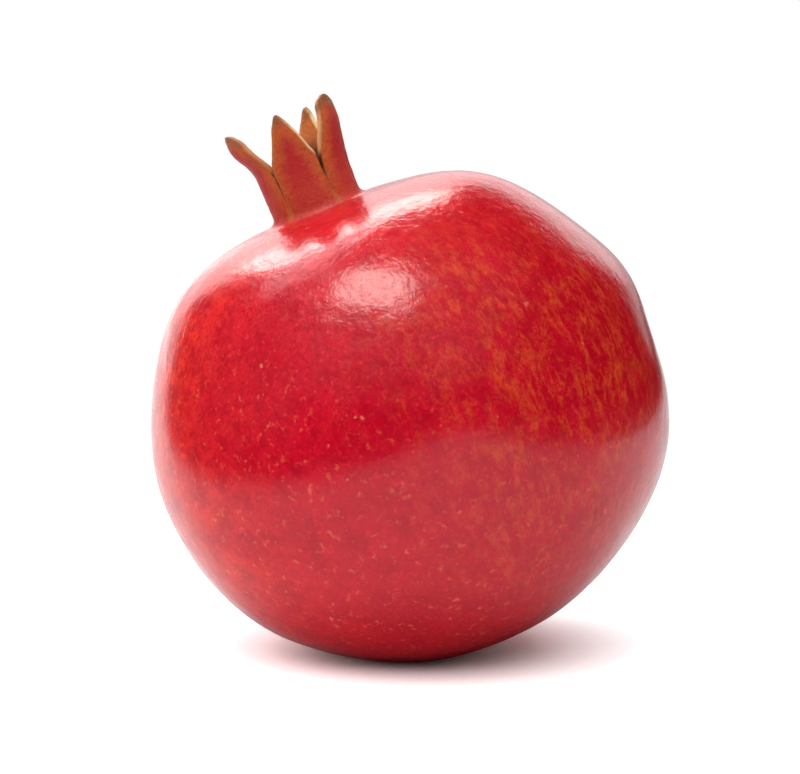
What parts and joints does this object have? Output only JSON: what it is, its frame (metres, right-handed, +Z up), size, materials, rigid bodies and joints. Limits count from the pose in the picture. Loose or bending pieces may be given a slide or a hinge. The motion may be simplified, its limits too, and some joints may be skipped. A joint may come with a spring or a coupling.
{
  "type": "pomegranate",
  "caption": "Whole ripe pomegranate with a leathery rind and a crown of dry sepals, leaning to one side on a small flat resting spot.",
  "frame": {"origin": "middle of the flat spot that the fruit rests on", "axes": "+Z up from the resting spot; -Y the front; the crown leans 24 degrees from +Z towards -X"},
  "size_m": [0.0954, 0.0957, 0.1043],
  "materials": {
    "rind": "satin",
    "stamens": "matte",
    "style": "matte",
    "stalk": "matte"
  },
  "bodies": {
    "root": {"fruit": "rind", "stamens": "stamens", "style": "style", "stem_stub": "stalk"}
  },
  "joints": []
}
